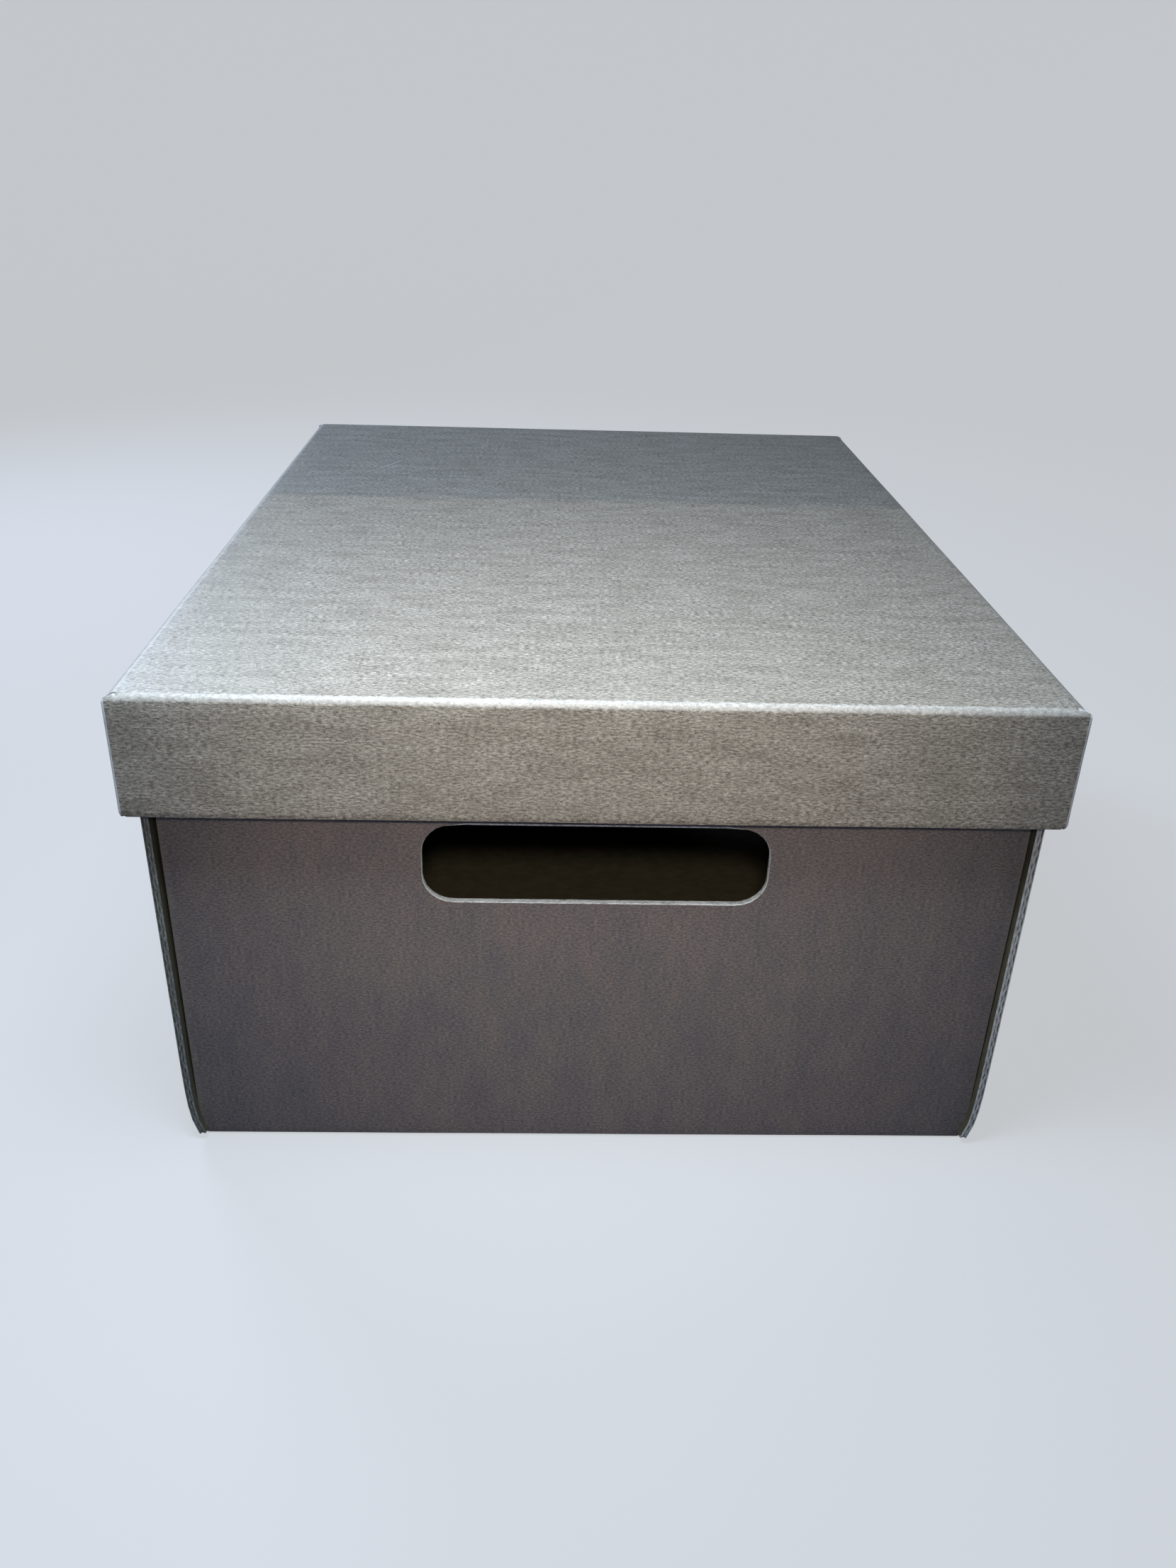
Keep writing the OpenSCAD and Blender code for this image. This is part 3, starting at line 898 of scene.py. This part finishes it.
def build_lid(context):
    """Cut and fold the lid"""
    settings = context.scene.archive_box
    board, size = settings.board, in_mm(settings.lid)
    thick = board.thickness * TO_MM
    side_run, end_run, sharp_run = (
        fold_run(size[k], thick) for k in ("side_fold", "end_fold", "sharp_fold"))
    side_r, end_r, sharp_r = (size[k] + thick for k in ("side_fold", "end_fold", "sharp_fold"))
    half_w, half_l, high = size["width"] / 2, size["length"] / 2, size["height"]
    wall = half_w - size["end_lip"]
    side_line = wall - side_r
    side_start = side_line + side_run
    side_end = side_start + high - side_r
    end_line = half_l - end_r
    flap_line = half_l - thick - sharp_r
    flap_end = flap_line + sharp_run + size["flap"] - sharp_r
    flap_u0 = side_start + size["play"]
    flap_u1 = side_end - thick - size["play"]
    # A quarter of the top with its side wall and corner flap
    quarter = [
        (side_line, -end_line, "shut"), (side_line + 2.0, -end_line - 1.5, "shut"),
        (side_start, -end_line - 1.5, "shut"), (side_start, -flap_line, "shut"),
        (flap_u0, -flap_line, "shut"), (flap_u0, -flap_end, "open"),
        (flap_u1, -flap_end, "shut"), (flap_u1, -flap_line, "shut"),
        (side_end, -flap_line, "shut"),
    ]
    half = quarter + mirrored(quarter, 1, -1)
    main = turned_round(half)
    us = ticks((0, side_line, side_start, side_end), (SPACING, 0.6, SPACING))
    vs = ticks((0, flap_line, flap_line + sharp_run, flap_end), (SPACING, 0.6, SPACING))

    def main_part(u, v):
        return LID_SIDES if abs(u) > side_start + 0.1 else MAIN

    sheets = [(main_part, [main], us, vs)]
    lines = [flute_line(side * flap_u0, side * flap_u1, end * flap_end, end, LID_SIDES)
             for side in (-1, 1) for end in (-1, 1)]
    # An end wall runs down, under and up again inside. These are distances along it from its crease
    layer = high - 2 * end_r
    web = 3 * thick - 2 * end_r
    inner_layer = high - end_r - thick - size["play"] - 0.1
    t_outer, t_low, t_web, t_back, t_inner, t_end = accumulate(
        (end_run, layer, end_run, web, end_run, inner_layer))
    inner_w = wall - thick - size["play"]
    # Half of that strip: its neck at the crease, the outer layer and the narrower inner one
    strip = [
        (side_line, 0, "shut"), (side_line + 0.4, 0.5, "shut"), (half_w - 3.1, 0.9, "shut"),
        (half_w - 0.6, 1.5, "shut"), (half_w, 2.4, "worn"), (half_w, t_low + 0.2, "worn"),
        (half_w - 0.9, t_low + 2.36, "shut"), (half_w - 1.1, t_low + 3.4, "shut"),
        (inner_w, t_low + 3.6, "shut"), (inner_w, t_end, "open"),
    ]
    for end, part in ((-1, FRONT_END), (1, REAR_END)):
        loop = [(u, end * (end_line + t), cut) for u, t, cut in strip + mirrored(strip, -1, 1)]
        us = ticks((0, side_line, half_w), (SPACING, 1.2))
        stops = (end_line, *(end_line + t for t in (t_outer, t_low, t_web, t_back, t_inner, t_end)))
        out = ticks(stops, (0.4, SPACING, 0.4, 2, 0.4, SPACING))
        vs = sorted(end * v for v in out if v > 0)
        sheets.append((lambda u, v, part=part: part, [loop], us, vs))
        lines.append(flute_line(-inner_w, inner_w, end * (end_line + t_end), end, part))
    mesh = blank_mesh("lid_blank", sheets, thick, lines)
    ends = ((FRONT_END, (0, -1, 0)), (REAR_END, (0, 1, 0)))
    folds = [(label, part, part, across)
             for label in ("Return", "Lower", "End") for part, across in ends]
    folds += [("Corner", LID_SIDES, LID_SIDES, across) for part, across in ends]
    folds += [("Side", MAIN, LID_SIDES, (side, 0, 0)) for side in (-1, 1)]
    own = settings.lid
    values = tree_values(board, papers_for(context, "lid"), (
        ("Return", end_line + t_back, own.end_fold, 0.3, 0.1),
        ("Lower", end_line + t_low, own.end_fold, 0.5, 0.05),
        ("End", end_line, own.end_fold, 0.15, 1.0),
        ("Corner", flap_line, own.sharp_fold, 0.0, 0.2),
        ("Side", side_line, own.side_fold, 0.1, 0.5)))
    values["Top"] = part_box("lid")[1].z
    obj = fold("lid_board", mesh, fold_tree("fold_lid", folds, turned=True), values)
    finish_piece(obj, "lid", ["lid"])


def build_flaps(context):
    """Cut the two grip flaps and fold them in and up"""
    settings = context.scene.archive_box
    board, size = settings.board, in_mm(settings.body)
    thick = board.thickness * TO_MM
    loop = hand_hole(size["hole_width"] / 2 - KERF, size["hole_height"] - 2 * KERF,
                     size["hole_corner"] - KERF, -KERF, -1)
    us = ticks((0, size["hole_width"] / 2), (FLAP_SPACING,))
    vs = [-FLAP_FIRST - FLAP_ROW * i for i in range(FLAP_ROWS)]
    tree = fold_tree("cut_flap", [])
    hinge_y = size["length"] / 2 - size["end_inset"] - thick - HINGE_GAP
    joints = {j["name"]: j for j in frame["joints"]}
    for name, joint, about in (("front_grip_flap", "front_grip_close", 0.0),
                               ("rear_grip_flap", "rear_grip_close", math.pi)):
        mesh = blank_mesh(name + "_blank", [(lambda u, v: MAIN, [loop], us, vs)], thick)
        values = tree_values(board, papers_for(context, "body"))
        values["Relief"] = 0.0
        obj = fold(name + "_board", mesh, tree, values)
        stand = Matrix.Rotation(QUARTER, 4, "X")
        back = Matrix.Translation((0, -(thick + HINGE_GAP) / TO_MM, 0))
        turn = Matrix.Rotation(math.radians(joints[joint]["range_deg"][1]), 4, "X")
        place = Matrix.Translation((0, -hinge_y / TO_MM, size["hole_top"] / TO_MM))
        spin = Matrix.Rotation(about, 4, "Z")
        # The blank lies flat with its outer face down: it is stood up with that face forwards
        obj.data.transform(spin @ place @ turn @ back @ Matrix.Scale(-1, 4, (0, 1, 0)) @ stand)
        obj.data.flip_normals()
        finish_piece(obj, name, [name])


def floor_material(code):
    """Pale plain floor for the camera, and a darker one for the light it throws on the box"""
    material, tree, shader = new_material("studio_floor")
    seen = add(tree, "ShaderNodeLightPath")
    colour = add(tree, MIX, seen, linear(FLOOR_THROWN), linear(code), data_type="RGBA")
    glow = add(tree, MULTIPLY, seen, FLOOR_GLOW_STRENGTH)
    supply(tree, shader, {
        "Base Color": colour, "Roughness": 0.9, "Specular IOR Level": 0.1,
        "Emission Color": linear(FLOOR_GLOW), "Emission Strength": glow})
    return material


def light_world(scene):
    """Even, dim surroundings, which only the camera sees as pale"""
    world = bpy.data.worlds.new("studio")
    world.use_nodes = True
    tree = world.node_tree
    seen = add(tree, "ShaderNodeLightPath")
    strength = add(tree, MULTIPLY_ADD, seen, WORLD_SEEN, WORLD_STRENGTH)
    supply(tree, tree.nodes["Background"], {"Color": linear(WORLD_TINT), "Strength": strength})
    scene.world = world


def place_camera(scene):
    """The photo's camera, found from the corners of the box"""
    data = bpy.data.cameras.new("camera")
    data.sensor_fit = "AUTO"
    data.sensor_width = CAMERA_SENSOR
    data.lens = CAMERA_LENS
    data.clip_start = 0.01
    camera = bpy.data.objects.new("camera", data)
    scene.collection.objects.link(camera)
    pitch, roll, turn = (math.radians(a) for a in CAMERA_TURNS)
    level = Matrix(((1, 0, 0), (0, 0, -1), (0, 1, 0)))
    seen = Matrix.Rotation(turn, 3, "Z") @ Matrix.Rotation(pitch, 3, "X")
    seen = seen @ Matrix.Rotation(roll, 3, "Y") @ level
    axes = Matrix((seen[0], -seen[1], -seen[2])).transposed()
    camera.matrix_world = Matrix.Translation(CAMERA_PLACE) @ axes.to_4x4()
    scene.camera = camera
    scene.view_settings.view_transform = "Standard"


def build_stage(context):
    """Build the floor, the lamps, the world and the camera"""
    scene = context.scene
    looks = scene.archive_box.looks
    # A floor that curves up into a backdrop behind the box
    path = [(-FLOOR_REACH, 0.0), (FLOOR_CURVE, 0.0)]
    for i in range(1, FLOOR_STEPS + 1):
        angle = QUARTER * i / FLOOR_STEPS
        path.append((FLOOR_CURVE + FLOOR_BEND * math.sin(angle), FLOOR_BEND * (1 - math.cos(angle))))
    path.append((FLOOR_CURVE + FLOOR_BEND, FLOOR_REACH))
    mesh = bpy.data.meshes.new("floor")
    mesh.from_pydata([(side * FLOOR_REACH, y, z) for y, z in path for side in (-1, 1)], [],
                     [(2 * i, 2 * i + 1, 2 * i + 3, 2 * i + 2) for i in range(len(path) - 1)])
    mesh.shade_smooth()
    floor = bpy.data.objects.new("floor", mesh)
    scene.collection.objects.link(floor)
    floor.location.z = -0.0002
    mesh.materials.append(floor_material(looks.floor))
    light_world(scene)
    for name, kind, place, aim, size, power, tint in LAMPS:
        lamp = bpy.data.lights.new(name, kind)
        lamp.energy = power
        lamp.color = linear(tint)[:3]
        if kind == "AREA":
            lamp.shape = "DISK"
            lamp.size = size
        else:
            lamp.shadow_soft_size = size / 2
            lamp.spot_size = math.radians(SPOT_SPREAD)
            lamp.spot_blend = 1.0
        obj = bpy.data.objects.new(name, lamp)
        obj.location = place
        obj.rotation_euler = (Vector(aim) - Vector(place)).to_track_quat("-Z", "Y").to_euler()
        scene.collection.objects.link(obj)
    place_camera(scene)


def operator(name, label, build):
    """Operator that runs one of the functions above"""

    def execute(self, context):
        build(context)
        return {"FINISHED"}

    return type("ARCHIVEBOX_OT_" + name, (bpy.types.Operator,), {
        "__doc__": build.__doc__, "bl_idname": "archive_box." + name, "bl_label": label,
        "execute": execute})


class ARCHIVEBOX_PT_panel(bpy.types.Panel):
    """Sizes, colours and pieces of the box"""

    bl_idname = "ARCHIVEBOX_PT_panel"
    bl_label = "Archive Box"
    bl_space_type = "VIEW_3D"
    bl_region_type = "UI"
    bl_category = "Archive Box"

    def draw(self, context):
        settings = context.scene.archive_box
        for group in (settings.board, settings.body, settings.lid, settings.looks):
            box = self.layout.box()
            for key in group.__annotations__:
                box.prop(group, key)
        for kind in OPERATORS:
            self.layout.operator(kind.bl_idname)


OPERATORS = (
    operator("body", "Body", build_body), operator("lid", "Lid", build_lid),
    operator("flaps", "Grip Flaps", build_flaps), operator("stage", "Stage", build_stage))
CLASSES = (BoardSettings, BodySettings, LidSettings, LookSettings, BoxSettings, *OPERATORS,
           ARCHIVEBOX_PT_panel)


def register():
    for kind in CLASSES:
        bpy.utils.register_class(kind)
    bpy.types.Scene.archive_box = PointerProperty(type=BoxSettings)


def unregister():
    del bpy.types.Scene.archive_box
    for kind in reversed(CLASSES):
        bpy.utils.unregister_class(kind)


def main():
    register()
    bpy.ops.archive_box.body()
    bpy.ops.archive_box.lid()
    bpy.ops.archive_box.flaps()
    bpy.ops.archive_box.stage()
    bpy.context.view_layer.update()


if __name__ == "__main__":
    main()
